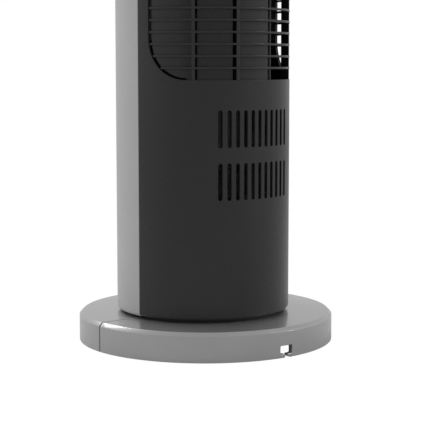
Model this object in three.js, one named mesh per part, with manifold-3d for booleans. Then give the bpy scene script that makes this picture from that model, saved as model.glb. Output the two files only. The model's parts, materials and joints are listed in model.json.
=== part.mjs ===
// Tower fan: a round two-part base, an oscillating column with an intake grille at the back and an
// outlet grille at the front, and a cross-flow blower inside. Millimetres, +Z up, back of the fan
// towards +Y. The origin is the centre of the base on the floor.
import * as THREE from 'three';
import { mergeVertices } from 'three/addons/utils/BufferGeometryUtils.js';
import Module from 'manifold-3d';

const wasm = await Module();
wasm.setup();

// ---------------------------------------------------------------- driving dimensions
const gap = 0.3;                 // clearance between pieces that touch
const wall = 2.5;                // moulded wall thickness

const baseRadius = 120;
const baseTurn = -2.4;           // the base is this far off the column's own axes, in degrees
const rimBottom = 1;
const rimTop = 24.6;
const baseTop = 27.9;
const footRadius = 9.5;
const footHeight = 4;
const footCircle = 99;
const footCount = 5;

const neckRadius = 71;
const neckTop = 31.2;
const bossRadius = 22;           // central pivot boss of the hub
const bossTop = 37.5;
const cableHole = 9;

const columnRadius = 81.5;
const columnOffset = -4.06;      // column centre lies this far towards the front of the pivot
const columnBottom = 30.2;
const shellTop = 735;
const seamY = 7.8;               // front/rear seam, behind the column's centre
const coverSplit = 672;          // the rear shell ends here and the handle cover begins
const fitRadius = columnRadius - wall - 0.6;   // discs that fit inside the shells

const grilleLow = 245.8;
const slatPitch = 10.56;
const slatCount = 37;
const slatHeight = 2;
const grilleHigh = grilleLow + slatPitch * (slatCount + 1);
const grilleCentre = 1.4;         // the intake opening sits slightly off the back, towards the intake side
const grilleHalfAngle = 77;
const grilleCornerRadius = 37;
const ribAngles = [-45, -16.3, 45];
const ribWidth = 2.9;
const ribDepth = 7.1;
const ribOverrun = 2;            // how far ribs reach behind the shell above and below the opening
const scrollRadius = 75;         // middle of the scroll's wall behind the grille
const scrollLip = 14;            // angle at which the scroll turns in towards the impeller
const outletHalfAngle = 40;

const ventPitch = 7.65;
const ventWidth = 3.5;
const ventRows = [[138.7, 172.0], [185.8, 219.0]];
const ventsEachSide = 5;

const motorPlateTop = 239;
const bearingPlateBottom = 660;
const impellerRadius = 46;
const impellerBottom = 243;
const impellerTop = 655;
const shaftRadius = 4;

const capTop = 758;
const buttonTop = 760;
const panelY = -30;
const buttonXs = [-33, -11, 11, 33];

const handleWidth = 86;
const handleLow = 683;
const handleHigh = 709;
const handleDepth = 30;

const gearModule = 2;
const sectorTeeth = 42;          // teeth on the full circle of the fixed sector
const pinionTeeth = 14;
const pinionCentreDistance = gearModule * (sectorTeeth + pinionTeeth) / 2;
const gearLow = 37.8;
const gearThickness = 6;

const coarse = 40;               // sides of the large round pieces
const medium = 20;
const small = 12;
const fine = 8;

// ---------------------------------------------------------------- geometry helpers
const rad = THREE.MathUtils.degToRad;

/** Welds a closed geometry, drops collapsed triangles and makes its faces point outwards. */
function weld(geometry) {
  const bare = geometry.index ? geometry.clone() : mergeVertices(geometry.clone());
  for (const name of ['normal', 'uv']) bare.deleteAttribute(name);
  const merged = mergeVertices(bare, 1e-4);
  const position = merged.attributes.position;
  const corner = [new THREE.Vector3(), new THREE.Vector3(), new THREE.Vector3()];
  const kept = [];
  let volume = 0;
  for (let i = 0; i < merged.index.count; i += 3) {
    const ids = [0, 1, 2].map((k) => merged.index.getX(i + k));
    if (new Set(ids).size < 3) continue;
    ids.forEach((id, k) => corner[k].fromBufferAttribute(position, id));
    volume += corner[0].dot(corner[1].cross(corner[2]));
    kept.push(...ids);
  }
  if (volume < 0) {
    for (let i = 0; i < kept.length; i += 3) [kept[i], kept[i + 1]] = [kept[i + 1], kept[i]];
  }
  merged.setIndex(kept);
  return merged;
}

function toSolid(geometry) {
  const welded = weld(geometry);
  return new wasm.Manifold(new wasm.Mesh({
    numProp: 3,
    vertProperties: new Float32Array(welded.attributes.position.array),
    triVerts: new Uint32Array(welded.index.array),
  }));
}

function toGeometry(solid) {
  const mesh = solid.getMesh();
  const geometry = new THREE.BufferGeometry();
  geometry.setAttribute('position', new THREE.BufferAttribute(new Float32Array(mesh.vertProperties), 3));
  geometry.setIndex(new THREE.BufferAttribute(new Uint32Array(mesh.triVerts), 1));
  return geometry;
}

const join = (first, ...others) =>
  toGeometry(others.reduce((solid, other) => solid.add(toSolid(other)), toSolid(first)));
const cut = (first, ...others) =>
  toGeometry(others.reduce((solid, other) => solid.subtract(toSolid(other)), toSolid(first)));
const common = (first, second) => toGeometry(toSolid(first).intersect(toSolid(second)));

/** A solid of revolution about Z from [radius, z] points; a profile off the axis closes on itself. */
function revolve(profile, sides) {
  const points = profile.map(([r, z]) => new THREE.Vector2(r, z));
  if (profile[0][0] > 0) points.push(points[0].clone());
  return new THREE.LatheGeometry(points, sides).rotateX(Math.PI / 2);
}

const tube = (outer, inner, low, high, sides) =>
  revolve([[inner, low], [outer, low], [outer, high], [inner, high]], sides);
const rod = (radius, low, high, sides) =>
  revolve([[0, low], [radius, low], [radius, high], [0, high]], sides);

function box(x0, x1, y0, y1, z0, z1) {
  return new THREE.BoxGeometry(x1 - x0, y1 - y0, z1 - z0)
    .translate((x0 + x1) / 2, (y0 + y1) / 2, (z0 + z1) / 2);
}

/** Extrudes an outline in the XY plane from one height to another. */
function prism(shape, low, high, curveSegments = 3) {
  return new THREE.ExtrudeGeometry(shape, { depth: high - low, bevelEnabled: false, curveSegments })
    .translate(0, 0, low);
}

function roundedRectangle(width, height, radius, cx = 0, cy = 0) {
  const shape = new THREE.Shape();
  const x = width / 2 - radius;
  const y = height / 2 - radius;
  shape.absarc(cx + x, cy + y, radius, 0, Math.PI / 2);
  shape.absarc(cx - x, cy + y, radius, Math.PI / 2, Math.PI);
  shape.absarc(cx - x, cy - y, radius, Math.PI, 1.5 * Math.PI);
  shape.absarc(cx + x, cy - y, radius, 1.5 * Math.PI, 2 * Math.PI);
  return shape;
}

/**
 * A curved block about the column's axis. Angles are degrees from the back, anticlockwise from
 * above; low and high are heights, or functions of the angle.
 */
function curvedBlock(inner, outer, angles, low, high) {
  const height = (value, angle) => (typeof value === 'function' ? value(angle) : value);
  const positions = [];
  for (const angle of angles) {
    const [s, c] = [-Math.sin(rad(angle)), Math.cos(rad(angle))];
    const [z0, z1] = [height(low, angle), height(high, angle)];
    positions.push(inner * s, inner * c, z0, outer * s, outer * c, z0);
    positions.push(outer * s, outer * c, z1, inner * s, inner * c, z1);
  }
  const index = [0, 1, 2, 0, 2, 3];
  for (let i = 0; i < angles.length - 1; i++) {
    for (let k = 0; k < 4; k++) {
      const [a, b] = [4 * i + k, 4 * i + (k + 1) % 4];
      index.push(a, a + 4, b + 4, a, b + 4, b);
    }
  }
  const last = 4 * (angles.length - 1);
  index.push(last, last + 2, last + 1, last, last + 3, last + 2);
  const geometry = new THREE.BufferGeometry();
  geometry.setAttribute('position', new THREE.Float32BufferAttribute(positions, 3));
  geometry.setIndex(index);
  return geometry;
}

const spread = (from, to, steps) =>
  Array.from({ length: steps + 1 }, (_, i) => from + (to - from) * i / steps);

/** The angle in degrees that a length covers on a circle. */
const degreesAt = (length, radius) => THREE.MathUtils.radToDeg(length / radius);

/** A wall of even thickness along [x, y] points, extruded upwards. */
function bentWall(points, thickness, low, high) {
  const sides = [[], []];
  points.forEach(([x, y], i) => {
    const [ax, ay] = points[Math.max(i - 1, 0)];
    const [bx, by] = points[Math.min(i + 1, points.length - 1)];
    const length = Math.hypot(bx - ax, by - ay);
    const [nx, ny] = [-(by - ay) / length * thickness / 2, (bx - ax) / length * thickness / 2];
    sides[0].push(new THREE.Vector2(x + nx, y + ny));
    sides[1].unshift(new THREE.Vector2(x - nx, y - ny));
  });
  return prism(new THREE.Shape([...sides[0], ...sides[1]]), low, high);
}

const polar = (radius, angle) => [-radius * Math.sin(rad(angle)), radius * Math.cos(rad(angle))];

function around(count, radius, startAngle = 0) {
  return spread(startAngle, startAngle + 360, count).slice(0, count).map((angle) => polar(radius, angle));
}

// ---------------------------------------------------------------- materials and placing
const finish = (color, roughness, metalness = 0) => () =>
  new THREE.MeshStandardMaterial({ color, roughness, metalness });

const silver = finish(0x9b9c9c, 0.38, 0.15);
const charcoal = finish(0x2f2f30, 0.45);
const black = finish(0x1a1a1b, 0.55);
const rubber = finish(0x161616, 0.85);
const acetal = finish(0xe8e6df, 0.4);
const steel = finish(0xb5b7b9, 0.35, 0.9);
const zinc = finish(0xa5a8aa, 0.45, 0.8);
const copper = finish(0xb06a35, 0.4, 0.8);
const bronze = finish(0x9a7434, 0.4, 0.8);
const board = finish(0x1f5a35, 0.5);
const gloss = finish(0x121213, 0.15);
const amber = finish(0xd98a1c, 0.2);

const fan = new THREE.Group();
const base = new THREE.Group();
base.rotation.z = rad(baseTurn);
const column = new THREE.Group();
column.position.y = columnOffset;
fan.add(base, column);

function add(group, name, material, geometry, x = 0, y = 0, z = 0) {
  const mesh = new THREE.Mesh(weld(geometry), material());
  mesh.name = name;
  mesh.position.set(x, y, z);
  group.add(mesh);
}

/** A pan-head screw whose head's underside is at z = 0; the shank points up or down. */
function screw(headRadius, shankRadius, shankLength, pointsUp) {
  const headHeight = headRadius * 0.65;
  const profile = [[0, -shankLength], [shankRadius, -shankLength], [shankRadius, 0], [headRadius, 0],
    [headRadius, headHeight * 0.5], [headRadius * 0.6, headHeight], [0, headHeight]];
  const geometry = revolve(profile, fine);
  return pointsUp ? geometry.rotateX(Math.PI) : geometry;
}

// ---------------------------------------------------------------- base
const hubScrewPlaces = around(4, 75.6, 45);
const footPlaces = around(footCount, footCircle, 180);

/** The base ring's section: an outer wall, a rounded top edge and a top plate open in the middle. */
function baseRing() {
  const inner = neckRadius + 0.5;
  const outline = [
    [baseRadius, rimBottom], [baseRadius, rimTop], [baseRadius - 0.9, rimTop + 2.3],
    [baseRadius - 3.2, baseTop], [inner, baseTop], [inner, baseTop - wall],
    [baseRadius - wall - 1.6, baseTop - wall], [baseRadius - wall, rimTop - 1.5], [baseRadius - wall, rimBottom],
  ];
  return revolve(outline, coarse);
}

function baseHalf(side) {
  const reach = baseRadius + 5;
  const edges = side > 0 ? [gap / 2, reach] : [-reach, -gap / 2];
  const half = common(baseRing(), box(-reach, reach, ...edges, 0, 40));
  const bosses = footPlaces
    .filter(([, y]) => Math.sign(y) === side)
    .map(([x, y]) => rod(footRadius + 1, footHeight + gap, baseTop - 1, small).translate(x, y, 0));
  const holes = hubScrewPlaces
    .filter(([, y]) => Math.sign(y) === side)
    .map(([x, y]) => rod(2, rimBottom, baseTop - 0.8, fine).translate(x, y, 0));
  return cut(join(half, ...bosses), ...holes);
}

/** Cord exit at the back: a window over a narrow slot, whose two hooks keep the cord in. */
function cordNotch() {
  const [y0, y1] = [baseRadius - 8, baseRadius + 5];
  const window = box(-6.7, 6.7, y0, y1, 4.6, 12);
  const slot = box(-1.4, 1.4, y0, y1, 0, 5);
  const relief = box(-4.4, 4.4, y0, y1, 0, 2.6);
  return join(window, slot, relief);
}

/** The hub is fixed to the base; its neck carries the column and its boss is the pivot. */
function hub() {
  const flangeTop = baseTop - wall - gap;
  const outline = [
    [cableHole, 18], [bossRadius, 18], [bossRadius, neckTop - 3], [neckRadius - 4, neckTop - 3],
    [neckRadius - 4, 21.5], [neckRadius + 9, 21.5], [neckRadius + 9, flangeTop], [neckRadius, flangeTop],
    [neckRadius, neckTop], [bossRadius, neckTop], [bossRadius, bossTop], [cableHole, bossTop],
  ];
  const holes = hubScrewPlaces.map(([x, y]) => rod(2, 18, 30, fine).translate(x, y, 0));
  const gearHoles = around(3, 15.5).map(([x, y]) => rod(1.6, 28, 40, fine).translate(x, y, 0));
  return cut(revolve(outline, coarse), ...holes, ...gearHoles);
}

/** One involute flank point: radius and half-angle of the tooth there, in radians. */
function toothHalfAngle(radius, teeth) {
  const pitchRadius = gearModule * teeth / 2;
  const baseCircle = pitchRadius * Math.cos(rad(20));
  const involute = (angle) => Math.tan(angle) - angle;
  const here = Math.acos(Math.min(1, baseCircle / Math.max(radius, baseCircle)));
  const backlash = 0.35;
  return Math.PI / (2 * teeth) - backlash / (2 * pitchRadius) + involute(rad(20)) - involute(here);
}

/** Points of one tooth centred on an angle, from its root on one side to its root on the other. */
function toothPoints(teeth, centre) {
  const pitchRadius = gearModule * teeth / 2;
  const root = pitchRadius - gearModule;
  const radii = [root, pitchRadius - 0.6, pitchRadius, pitchRadius + 0.75 * gearModule];
  const flank = radii.map((radius) => [radius, toothHalfAngle(radius, teeth)]);
  const place = ([radius, half], side) => new THREE.Vector2(
    radius * Math.cos(centre + side * half), radius * Math.sin(centre + side * half));
  return [...flank.map((point) => place(point, -1)), ...flank.reverse().map((point) => place(point, 1))];
}

/** The fixed sector: a disc on the hub's boss with teeth where the pinion runs. */
function gearSector() {
  const middle = rad(-90 + baseTurn);
  const tooth = 2 * Math.PI / sectorTeeth;
  const firstTooth = Math.ceil((middle - rad(50)) / tooth);
  const lastTooth = Math.floor((middle + rad(50)) / tooth);
  const meshCentre = rad(-90);
  const phase = meshCentre - Math.round(meshCentre / tooth) * tooth;
  const points = [];
  for (let i = firstTooth; i <= lastTooth; i++) {
    points.push(...toothPoints(sectorTeeth, i * tooth + phase));
  }
  const start = Math.atan2(points[0].y, points[0].x);
  const end = Math.atan2(points.at(-1).y, points.at(-1).x);
  const discRadius = 29;
  for (const angle of spread(end, start + 2 * Math.PI, 20)) {
    points.push(new THREE.Vector2(discRadius * Math.cos(angle), discRadius * Math.sin(angle)));
  }
  const plate = prism(new THREE.Shape(points), gearLow, gearLow + gearThickness);
  const holes = around(3, 15.5).map(([x, y]) => rod(1.6, 30, 50, fine).translate(x, y, 0));
  return cut(plate, rod(cableHole, 30, 50, medium), ...holes.map((hole) => hole.rotateZ(rad(baseTurn))));
}

/** The pinion has a gap between teeth facing the sector when the sector has a tooth there. */
function pinion() {
  const tooth = 2 * Math.PI / pinionTeeth;
  const facing = rad(90) + tooth / 2;
  const points = [];
  for (let i = 0; i < pinionTeeth; i++) points.push(...toothPoints(pinionTeeth, facing + i * tooth));
  const wheel = prism(new THREE.Shape(points), gearLow + 0.5, gearLow + gearThickness - 0.5);
  return join(wheel, rod(2.5, gearLow + 2, 53, fine));
}

add(base, 'base_front_half', silver, baseHalf(-1));
add(base, 'base_rear_half', silver, cut(baseHalf(1), cordNotch()));
add(base, 'base_hub', black, hub());
add(base, 'slip_ring', acetal, tube(62, 34, neckTop + gap, 33, coarse));
hubScrewPlaces.forEach(([x, y], i) => {
  add(base, `base_screw_${i + 1}`, steel, screw(3.6, 1.6, 5, true), x, y, 21.5 - gap);
});
footPlaces.forEach(([x, y], i) => {
  add(base, `foot_${i + 1}`, rubber, rod(footRadius, 0, footHeight, small), x, y);
});
const gearTop = gearLow + gearThickness;
around(3, 15.5).forEach(([x, y], i) => {
  add(base, `gear_screw_${i + 1}`, steel, screw(3, 1.3, 12, false), x, y, gearTop + gap);
});
add(fan, 'gear_sector', acetal, gearSector());

// ---------------------------------------------------------------- column structure
const pivotY = -columnOffset;            // the pivot, seen from the column's centre
const pinionY = pivotY - pinionCentreDistance;
const earX = 26;

/** The column's floor turns on the hub; its upstand locates the shells and two posts hold a motor. */
function columnFloor() {
  const low = 33.3;
  const high = 36.3;
  const dish = revolve([[0, low], [fitRadius - 2.4, low], [fitRadius, high], [fitRadius, 46], [fitRadius - wall, 46],
    [fitRadius - wall, high], [0, high]], coarse);
  const posts = [-earX, earX].map((x) => rod(4.2, high - 1, 46.7, fine).translate(x, pinionY, 0));
  const holes = [-earX, earX].map((x) => rod(1.5, high, 50, fine).translate(x, pinionY, 0));
  const pivotHole = rod(bossRadius + 0.4, 30, 50, medium).translate(0, pivotY, 0);
  return cut(join(dish, ...posts), pivotHole, ...holes);
}

/** Full shell ring with a rounded bottom edge and a short lip under the floor. */
function shellRing() {
  return revolve([
    [columnRadius - 4.5, columnBottom], [columnRadius - 3, columnBottom], [columnRadius - 0.8, columnBottom + 1],
    [columnRadius, columnBottom + 3.2], [columnRadius, shellTop], [columnRadius - wall, shellTop],
    [columnRadius - wall, columnBottom + 3.5], [columnRadius - 4.5, columnBottom + 0.9],
  ], coarse);
}

/** Height of the grille opening's lower edge at an angle: straight with a round corner at each end. */
function openingLow(angle) {
  const fromCorner = columnRadius * rad(grilleHalfAngle - Math.abs(angle - grilleCentre));
  const inset = Math.max(0, grilleCornerRadius - Math.max(0, fromCorner));
  return grilleLow + grilleCornerRadius - Math.sqrt(grilleCornerRadius ** 2 - inset ** 2);
}

const openingHigh = (angle) => grilleLow + grilleHigh - openingLow(angle);

/** The grille opening as a curved block. */
function openingBlock(inner, outer) {
  const bend = grilleHalfAngle - degreesAt(grilleCornerRadius, columnRadius);
  const corner = [1, 0.93, 0.75, 0.45].map((t) => bend + (grilleHalfAngle - bend) * t);
  const angles = [...corner.map((angle) => -angle), ...spread(-bend, bend, 10), ...corner.reverse()]
    .map((angle) => angle + grilleCentre);
  return curvedBlock(inner, outer, angles, openingLow, openingHigh);
}

function ventSlot(x, low, high) {
  const shape = roundedRectangle(ventWidth, high - low, ventWidth / 2 - 0.01, 0, (low + high) / 2);
  return prism(shape, 0, 40, 1).rotateX(Math.PI / 2).translate(x, columnRadius + 5, 0);
}

function frontShell() {
  const half = common(shellRing(), box(-100, 100, -100, seamY - gap / 2, 0, 800));
  const outlet = curvedBlock(70, 90, spread(180 - outletHalfAngle, 180 + outletHalfAngle, 12), grilleLow, grilleHigh);
  return cut(half, outlet);
}

/** The part of the shell ring behind the seam, between two heights. */
const rearPart = (low, high) => common(shellRing(), box(-100, 100, seamY + gap / 2, 100, low, high));

function rearShell() {
  const slots = ventRows.flatMap(([low, high]) =>
    spread(-ventsEachSide, ventsEachSide, 2 * ventsEachSide).map((k) => ventSlot(k * ventPitch, low, high)));
  return cut(rearPart(0, coverSplit - gap / 2), openingBlock(70, 90), ...slots);
}

/** Upper end of the rear shell, a cover of its own, with the opening for the carrying hand. */
function handleCover() {
  const handle = box(-handleWidth / 2, handleWidth / 2, 40, 100, handleLow, handleHigh);
  return cut(rearPart(coverSplit + gap / 2, 800), handle);
}

/** Half the opening's angle at a height, less near its round corners. */
function openingEdge(z) {
  const drop = Math.max(0, grilleLow + grilleCornerRadius - Math.min(z, grilleLow + grilleHigh - z));
  const inset = grilleCornerRadius - Math.sqrt(grilleCornerRadius ** 2 - drop ** 2);
  return grilleHalfAngle - degreesAt(inset, columnRadius);
}

/** Slats flush with the shell, on ribs whose ends reach behind the shell. */
function rearGrille() {
  const [inner, outer] = [columnRadius - ribDepth, columnRadius - 0.2];
  const slatDepth = 3.5;
  const slats = spread(1, slatCount, slatCount - 1).map((k) => {
    const middle = grilleLow + slatPitch * k;
    const [low, high] = [middle - slatHeight / 2, middle + slatHeight / 2];
    const edge = Math.min(openingEdge(low), openingEdge(high)) - degreesAt(1.8, columnRadius);
    return curvedBlock(outer - slatDepth, outer, spread(grilleCentre - edge, grilleCentre + edge, 8), low, high);
  });
  const half = degreesAt(ribWidth / 2, columnRadius);
  const ribs = ribAngles.map((angle) => [angle - half, angle + half]);
  const rails = [[-80, -73], [75, 82]];
  const uprights = [...ribs, ...rails].map((angles) =>
    curvedBlock(inner, outer - slatDepth + 0.6, angles, grilleLow - ribOverrun, grilleHigh + ribOverrun));
  return join(...uprights, ...slats);
}

/** Upright bars in the outlet at the front, tied by hoops behind them. */
function frontGrille() {
  const [inner, outer] = [columnRadius - 6, columnRadius - 0.2];
  const edge = outletHalfAngle - 0.4;
  const barHalf = degreesAt(1, columnRadius);
  const [low, high] = [grilleLow + 0.5, grilleHigh - 0.5];
  const bars = spread(180 - edge + barHalf, 180 + edge - barHalf, 12).map((angle) =>
    curvedBlock(outer - 3.5, outer, [angle - barHalf, angle + barHalf], low, high));
  const hoops = spread(low, high - 3, 3).map((z) =>
    curvedBlock(inner, outer - 2.4, spread(180 - edge, 180 + edge, 6), z, z + 3));
  return join(...hoops, ...bars);
}

add(column, 'column_floor', black, columnFloor());
add(column, 'thrust_washer', acetal, tube(29, 23.5, 36.6, 37.4, medium), 0, pivotY);
add(column, 'front_shell', silver, frontShell());
add(column, 'rear_shell', charcoal, rearShell());
add(column, 'handle_cover', charcoal, handleCover());
add(column, 'rear_grille', charcoal, rearGrille());
add(column, 'front_grille', black, frontGrille());

// ---------------------------------------------------------------- oscillation drive
/** Geared stepper motor on two ears, with a bore for the pinion's shaft. */
function oscillationMotor() {
  const can = rod(17.5, 47, 63, medium);
  const ears = prism(roundedRectangle(2 * earX + 9, 9, 4.4), 47, 48.5);
  const bore = rod(2.8, 45, 54, fine);
  const holes = [-earX, earX].map((x) => rod(1.6, 45, 50, fine).translate(x, 0, 0));
  return cut(join(can, ears), bore, ...holes);
}

add(column, 'oscillation_motor', zinc, oscillationMotor(), 0, pinionY);
[-earX, earX].forEach((x, i) => {
  add(column, `oscillation_screw_${i + 1}`, steel, screw(3, 1.2, 8, false), x, pinionY, 48.5 + gap);
});
add(column, 'drive_pinion', acetal, pinion(), 0, pinionY);

// ---------------------------------------------------------------- blower motor
const motorMounts = around(3, 34, 60);
const motorHoles = (low, high) => motorMounts.map(([x, y]) => rod(2.1, low, high, fine).translate(x, y, 0));

function motorPlate() {
  const plate = tube(fitRadius, 10, motorPlateTop - 3, motorPlateTop, coarse);
  return cut(plate, ...motorHoles(230, 250));
}

function motorCan() {
  return revolve([[9.3, 178], [41, 178], [41, 228.7], [39.5, 228.7], [39.5, 179.5], [9.3, 179.5]], medium);
}

function motorCover() {
  return cut(tube(42, 9.3, 229, 231.5, medium), ...motorHoles(220, 240));
}

add(column, 'motor_plate', black, motorPlate());
add(column, 'motor_can', zinc, motorCan());
add(column, 'motor_cover', zinc, motorCover());
add(column, 'stator_core', steel, tube(38, 30, 190, 218, medium));
add(column, 'stator_windings', copper, tube(29.7, 23, 184, 224, medium));
add(column, 'motor_bearing_lower', bronze, tube(9, shaftRadius + gap, 176, 182, small));
add(column, 'motor_bearing_upper', bronze, tube(9, shaftRadius + gap, 226, 232, small));
motorMounts.forEach(([x, y], i) => {
  add(column, `motor_mount_${i + 1}`, rubber, tube(6, 2.1, 231.8, 235.7, fine), x, y);
  add(column, `motor_screw_${i + 1}`, steel, screw(4, 1.8, 11, false), x, y, motorPlateTop + gap);
});

// ---------------------------------------------------------------- impeller and its air path
function bladeShape(angle) {
  const side = (offset) => [[36, 0], [40, 5.2], [impellerRadius - 0.4, 7.4]].map(([radius, turn]) =>
    new THREE.Vector2(...polar(radius, angle + turn + offset)));
  return new THREE.Shape([...side(0), ...side(2).reverse()]);
}

function impeller() {
  const bladeCount = 16;
  const blades = spread(0, 360, bladeCount).slice(1).map((angle) =>
    prism(bladeShape(angle), impellerBottom + 1, impellerTop - 1));
  const discs = spread(impellerBottom, impellerTop - 2.5, 2).map((z, i) =>
    (i % 2 === 0
      ? tube(impellerRadius, shaftRadius + gap, z, z + 2.5, medium)
      : tube(impellerRadius, 31, z, z + 2.5, medium)));
  return join(...discs, ...blades);
}

/**
 * Rear wall of the blower: close behind the grille, widening towards the outlet, with slots that
 * clear the grille's ribs.
 */
function scrollCasing() {
  const inward = [[51, scrollLip - 0.4], [62, scrollLip - 0.2], [scrollRadius, scrollLip]];
  const round = spread(scrollLip - 1.5, -96, 14).map((angle) => [scrollRadius, angle]);
  const outward = spread(-104, -138, 4).map((angle, i) => [scrollRadius + 0.4 + i * 0.5, angle]);
  const path = [...inward, ...round, ...outward].map(([radius, angle]) => polar(radius, angle));
  const wallBody = bentWall(path, 2, motorPlateTop + gap, bearingPlateBottom - gap);
  const half = degreesAt(ribWidth / 2 + 1, columnRadius);
  const railSlot = [-81, -72];
  const slots = [railSlot, ...ribAngles.slice(0, 2).map((angle) => [angle - half, angle + half])];
  const reach = ribOverrun + 1;
  return cut(wallBody, ...slots.map((angles) =>
    curvedBlock(70, 80, angles, grilleLow - reach, grilleHigh + reach)));
}

/** Folded wall on the intake's front side, whose edge runs close to the impeller. */
function stabilizer() {
  const path = [[76.5, 84], [64, 94], [50.5, 104], [49.5, 110], [62, 124], [76, 138]]
    .map(([radius, angle]) => polar(radius, angle));
  return bentWall(path, 2, motorPlateTop + gap, bearingPlateBottom - gap);
}

add(column, 'scroll_casing', charcoal, scrollCasing());
add(column, 'stabilizer', black, stabilizer());
add(column, 'bearing_plate', black, tube(fitRadius, 9, bearingPlateBottom, bearingPlateBottom + 3, coarse));
add(column, 'top_bearing', rubber, tube(8.7, shaftRadius + gap, 658, 666, small));
add(column, 'impeller', black, impeller());
add(column, 'impeller_pin', steel, rod(shaftRadius, 648, 669, fine));
add(column, 'motor_shaft', steel, rod(shaftRadius, 172, 252, fine));
add(column, 'rotor', zinc, tube(22, shaftRadius + gap, 188, 220, medium));

// ---------------------------------------------------------------- top of the column
/** Pocket behind the handle opening, closed on five sides. */
function handleCup() {
  const x = handleWidth / 2;
  const floorY = columnRadius - handleDepth;
  const outer = box(-x - wall, x + wall, floorY - wall, 100, handleLow - wall, handleHigh + wall);
  const inner = box(-x, x, floorY, 110, handleLow, handleHigh);
  return common(cut(outer, inner), rod(columnRadius - wall - gap, 600, 740, coarse));
}

function topCap() {
  const skin = revolve([
    [columnRadius, shellTop + gap], [columnRadius, 750], [columnRadius - 1.6, 755], [columnRadius - 5.5, capTop],
    [0, capTop], [0, capTop - wall], [columnRadius - 7, capTop - wall], [columnRadius - wall - 0.6, 749],
    [columnRadius - wall - 0.6, 728], [columnRadius - wall - 0.4, 728], [columnRadius - wall - 0.4, shellTop + gap],
  ], coarse);
  return cut(skin, prism(roundedRectangle(100.6, 40.6, 12.3, 0, panelY), 740, 780));
}

const standoffXs = [-42, 42];
const standoffY = panelY + 12;

function controlPanel() {
  const plate = prism(roundedRectangle(100, 40, 12, 0, panelY), 752.6, capTop + 0.6);
  const flange = prism(roundedRectangle(105, 45, 14, 0, panelY), 752.6, capTop - wall - gap);
  const posts = standoffXs.map((x) => rod(3, 742.9, 753, fine).translate(x, standoffY, 0));
  const postHoles = standoffXs.map((x) => rod(1.5, 740, 750, fine).translate(x, standoffY, 0));
  const buttonHoles = buttonXs.map((x) => rod(6.9, 740, 780, small).translate(x, panelY, 0));
  const lensHole = prism(roundedRectangle(50.6, 4.6, 2.2, 0, panelY - 13), 740, 780);
  return cut(join(plate, flange, ...posts), ...postHoles, ...buttonHoles, lensHole);
}

function circuitBoard() {
  const plate = box(-47, 47, panelY - 17, panelY + 17, 741, 742.6);
  const switches = buttonXs.map((x) => box(x - 3, x + 3, panelY - 3, panelY + 3, 742, 746.6));
  const holes = standoffXs.map((x) => rod(1.6, 730, 750, fine).translate(x, standoffY, 0));
  return cut(join(plate, ...switches), ...holes);
}

/** A push button: finger cap, a flange that keeps it in and a stem over its switch. */
function button() {
  return revolve([[0, 747.6], [2.5, 747.6], [2.5, 750.6], [8, 750.6], [8, 752.1], [6.5, 752.1],
    [6.5, buttonTop - 0.8], [5.7, buttonTop], [0, buttonTop]], small);
}

add(column, 'handle_cup', black, handleCup());
add(column, 'top_cap', silver, topCap());
add(column, 'control_panel', gloss, controlPanel());
add(column, 'circuit_board', board, circuitBoard());
standoffXs.forEach((x, i) => {
  add(column, `board_screw_${i + 1}`, steel, screw(2.6, 1.2, 7, true), x, standoffY, 741 - gap);
});
add(column, 'indicator_lens', amber, prism(roundedRectangle(50, 4, 1.9, 0, panelY - 13), 754, capTop + 0.9));
['power', 'speed', 'swing', 'timer'].forEach((name, i) => {
  add(column, `button_${name}`, zinc, button(), buttonXs[i], panelY);
});

export default fan;
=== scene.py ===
"""Looks of a tower fan: a two-part round base, an oscillating column with an intake grille at the
back and an outlet at the front, and a cross-flow blower inside. Lengths are millimetres until a mesh
is made. Angles are degrees from the back of the fan (+Y), anticlockwise from above."""
import json
import math

import bpy
import numpy as np
from mathutils import Matrix, Vector
from mathutils.geometry import delaunay_2d_cdt

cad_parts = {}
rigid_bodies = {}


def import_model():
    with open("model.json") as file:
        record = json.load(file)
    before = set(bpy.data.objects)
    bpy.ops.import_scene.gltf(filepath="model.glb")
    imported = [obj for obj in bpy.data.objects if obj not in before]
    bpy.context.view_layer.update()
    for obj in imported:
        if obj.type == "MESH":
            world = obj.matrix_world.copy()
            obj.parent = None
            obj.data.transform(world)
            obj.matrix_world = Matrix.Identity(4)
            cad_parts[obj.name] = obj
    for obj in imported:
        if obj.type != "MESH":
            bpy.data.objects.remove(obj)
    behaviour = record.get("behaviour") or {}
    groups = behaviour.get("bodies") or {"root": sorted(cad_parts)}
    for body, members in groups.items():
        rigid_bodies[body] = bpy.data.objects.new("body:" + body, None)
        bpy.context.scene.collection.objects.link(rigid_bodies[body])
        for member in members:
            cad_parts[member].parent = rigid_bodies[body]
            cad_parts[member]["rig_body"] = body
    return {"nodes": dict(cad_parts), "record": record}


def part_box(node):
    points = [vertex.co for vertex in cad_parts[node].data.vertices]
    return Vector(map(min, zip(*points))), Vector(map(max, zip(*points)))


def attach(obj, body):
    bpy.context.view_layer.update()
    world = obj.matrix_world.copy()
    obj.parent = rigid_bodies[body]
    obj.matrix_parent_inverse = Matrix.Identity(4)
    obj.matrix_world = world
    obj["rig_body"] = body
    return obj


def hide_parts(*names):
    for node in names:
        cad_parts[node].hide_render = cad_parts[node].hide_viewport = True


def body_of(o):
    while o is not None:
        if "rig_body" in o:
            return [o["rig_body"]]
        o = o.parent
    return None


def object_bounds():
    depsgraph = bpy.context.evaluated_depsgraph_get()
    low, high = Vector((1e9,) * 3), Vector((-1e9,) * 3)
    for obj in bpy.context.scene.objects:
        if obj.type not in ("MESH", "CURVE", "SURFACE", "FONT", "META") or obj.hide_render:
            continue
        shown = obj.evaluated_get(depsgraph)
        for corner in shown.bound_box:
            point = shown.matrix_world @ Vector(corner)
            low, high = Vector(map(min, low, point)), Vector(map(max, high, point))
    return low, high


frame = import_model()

MM = 0.001
scene = bpy.context.scene
cad_low, cad_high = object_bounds()


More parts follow.
